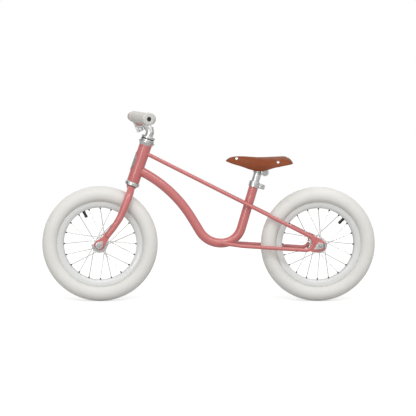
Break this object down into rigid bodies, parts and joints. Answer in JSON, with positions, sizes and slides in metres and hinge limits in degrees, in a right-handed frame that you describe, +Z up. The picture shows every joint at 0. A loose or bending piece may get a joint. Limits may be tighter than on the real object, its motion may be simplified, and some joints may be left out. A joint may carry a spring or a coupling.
{
  "type": "balance bike",
  "caption": "Child's pedal-less bicycle with a bent-tube step-through frame, spoked wheels with air tyres, threaded headset, swept handlebar and leather saddle.",
  "frame": {"origin": "on the ground, midway between the axles, in the bike's centre plane", "axes": "+Z up, -X the way the bike rides, -Y its left side"},
  "size_m": [0.861, 0.3862, 0.4895],
  "materials": {
    "pink_paint": "gloss powder coat",
    "white_paint": "gloss enamel",
    "tyre": "matt off-white rubber",
    "black_rubber": "matt",
    "black_plastic": "matt",
    "grip_rubber": "soft matt",
    "leather": "smooth brown",
    "chrome": "polished plate",
    "steel": "satin zinc",
    "dark_steel": "dark"
  },
  "bodies": {
    "frame": {"head_tube": "pink_paint", "main_tube": "pink_paint", "rear_stay_left": "pink_paint", "rear_stay_right": "pink_paint", "upper_headset_cup": "chrome", "lower_headset_cup": "chrome", "upper_ball_cage": "steel", "lower_ball_cage": "steel", "head_badge": "steel", "seat_clamp_collar": "chrome", "seat_clamp_bolt": "steel", "rear_axle": "steel", "rear_axle_nut_left": "chrome", "rear_axle_nut_right": "chrome", "rear_tab_washer_left": "chrome", "rear_tab_washer_right": "chrome"},
    "fork": {"fork": "pink_paint", "crown_race": "dark_steel", "adjusting_race": "chrome", "keyed_washer": "dark_steel", "headset_locknut": "chrome", "front_axle": "steel", "front_axle_nut_left": "chrome", "front_axle_nut_right": "chrome", "front_tab_washer_left": "chrome", "front_tab_washer_right": "chrome"},
    "front_wheel": {"front_tyre": "tyre", "front_inner_tube": "black_rubber", "front_rim": "white_paint", "front_hub_and_spokes": "chrome", "front_bearing_left": "steel", "front_bearing_right": "steel", "front_valve_cap": "black_rubber"},
    "rear_wheel": {"rear_tyre": "tyre", "rear_inner_tube": "black_rubber", "rear_rim": "white_paint", "rear_hub_and_spokes": "chrome", "rear_bearing_left": "steel", "rear_bearing_right": "steel", "rear_valve_cap": "black_rubber"},
    "stem": {"quill_stem": "chrome", "stem_wedge": "steel", "stem_expander_bolt": "steel", "stem_clamp_bolt": "steel"},
    "handlebar": {"handlebar": "pink_paint", "grip_left": "grip_rubber", "grip_right": "grip_rubber", "bar_end_plug_left": "black_plastic", "bar_end_plug_right": "black_plastic"},
    "seat_post": {"seat_post": "chrome", "saddle_clamp": "steel"},
    "saddle": {"saddle_clamp_bolt": "steel", "saddle_lug_left": "chrome", "saddle_lug_right": "chrome", "saddle_frame": "steel", "saddle_cover": "leather"}
  },
  "joints": [
    {"name": "steering", "type": "hinge", "parent": "frame", "child": "fork", "pos_m": [-0.1976, 0, 0.309], "axis": [0.3256, 0, 0.9455], "range_deg": [-80, 80]},
    {"name": "front_wheel_spin", "type": "hinge", "parent": "fork", "child": "front_wheel", "pos_m": [-0.282, 0, 0.1485], "axis": [0, 1, 0], "continuous": true},
    {"name": "rear_wheel_spin", "type": "hinge", "parent": "frame", "child": "rear_wheel", "pos_m": [0.282, 0, 0.1485], "axis": [0, 1, 0], "continuous": true},
    {"name": "stem_height", "type": "slide", "parent": "fork", "child": "stem", "axis": [0.3256, 0, 0.9455], "range_m": [-0.006, 0.02]},
    {"name": "handlebar_roll", "type": "hinge", "parent": "stem", "child": "handlebar", "pos_m": [-0.1813, 0, 0.4644], "axis": [0, 1, 0], "range_deg": [-40, 40]},
    {"name": "seat_height", "type": "slide", "parent": "frame", "child": "seat_post", "axis": [0.2798, 0, 0.96], "range_m": [-0.02, 0.035]},
    {"name": "saddle_tilt", "type": "hinge", "parent": "seat_post", "child": "saddle", "pos_m": [0.14, 0, 0.3355], "axis": [0, 1, 0], "range_deg": [-10, 10]}
  ]
}
